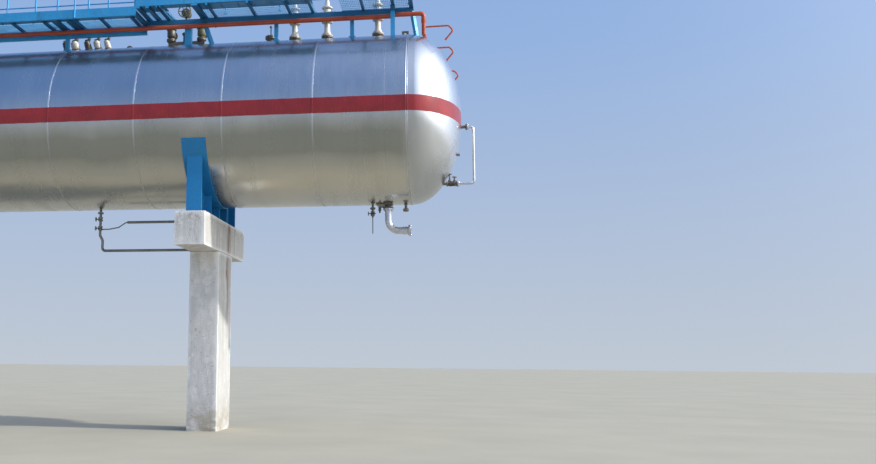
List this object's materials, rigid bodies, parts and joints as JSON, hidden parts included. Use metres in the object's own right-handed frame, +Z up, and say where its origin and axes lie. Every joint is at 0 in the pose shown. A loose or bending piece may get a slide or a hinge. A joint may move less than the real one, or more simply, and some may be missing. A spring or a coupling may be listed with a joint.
{
  "type": "horizontal gas storage tank",
  "caption": "Horizontal cylindrical gas storage tank with domed heads on concrete piers and steel saddles, with a top walkway, spray header, relief valves and drain pipework.",
  "frame": {"origin": "middle of the overall box at ground level, on the tank's vertical middle plane", "axes": "+Z up, +X along the tank towards the end with the level tube and outlet, -Y towards the walkway side"},
  "size_m": [23.2549, 3.47, 9.392],
  "materials": {
    "cladding": "brushed bright metal jacket with ring seams and a plain dark red stripe, lightly stained",
    "concrete": "whitewashed cast concrete, weathered, with grime and rust runs",
    "blue_steel": "bright blue gloss paint, faded and chipped at edges",
    "grating": "blue painted bar grating, dirty",
    "red_pipe": "rust red paint, dull",
    "bright_pipe": "bright metal pipe jacket, slightly dull",
    "dark_fitting": "dark oily metal with brown rust",
    "olive_fitting": "olive paint, worn",
    "pale_fitting": "pale cream paint, dusty"
  },
  "bodies": {
    "root": {"bottom_outlet_nozzle": "dark_fitting", "bridle_nozzle_upper": "dark_fitting", "bridle_valve_lower": "dark_fitting", "capped_nozzle_1": "dark_fitting", "capped_nozzle_2": "dark_fitting", "changeover_handwheel": "olive_fitting", "deluge_branch_left": "red_pipe", "deluge_branch_right": "red_pipe", "deluge_header": "red_pipe", "drain_line": "dark_fitting", "drain_plug": "dark_fitting", "drain_valve": "dark_fitting", "end_rail_left": "blue_steel", "end_rail_right": "blue_steel", "gauge_nozzle": "dark_fitting", "handrail_far_high": "blue_steel", "handrail_far_low": "blue_steel", "handrail_high": "blue_steel", "handrail_low": "blue_steel", "instrument_nozzles": "pale_fitting", "level_tube": "bright_pipe", "lifting_lug_left": "dark_fitting", "lifting_lug_right": "dark_fitting", "outlet_elbow": "bright_pipe", "pier_cap_left": "concrete", "pier_cap_right": "concrete", "pier_shaft_left": "concrete", "pier_shaft_right": "concrete", "relief_manifold": "dark_fitting", "relief_valve_left": "dark_fitting", "relief_valve_right": "olive_fitting", "saddle_base_plate_left": "blue_steel", "saddle_base_plate_right": "blue_steel", "saddle_wear_plate_left": "blue_steel", "saddle_wear_plate_right": "blue_steel", "saddle_web_left": "blue_steel", "saddle_web_right": "blue_steel", "sample_tube": "dark_fitting", "tank_barrel": "cladding", "tank_head_left": "cladding", "tank_head_right": "cladding", "toe_plate_high": "blue_steel", "toe_plate_low": "blue_steel", "top_nozzle_1": "cladding", "top_nozzle_2": "cladding", "top_nozzle_3": "cladding", "vapour_valve_1": "pale_fitting", "vapour_valve_2": "pale_fitting", "vapour_valve_3": "pale_fitting", "walkway_deck_high": "grating", "walkway_deck_low": "grating", "walkway_frame_high": "blue_steel", "walkway_frame_low": "blue_steel"}
  },
  "joints": []
}
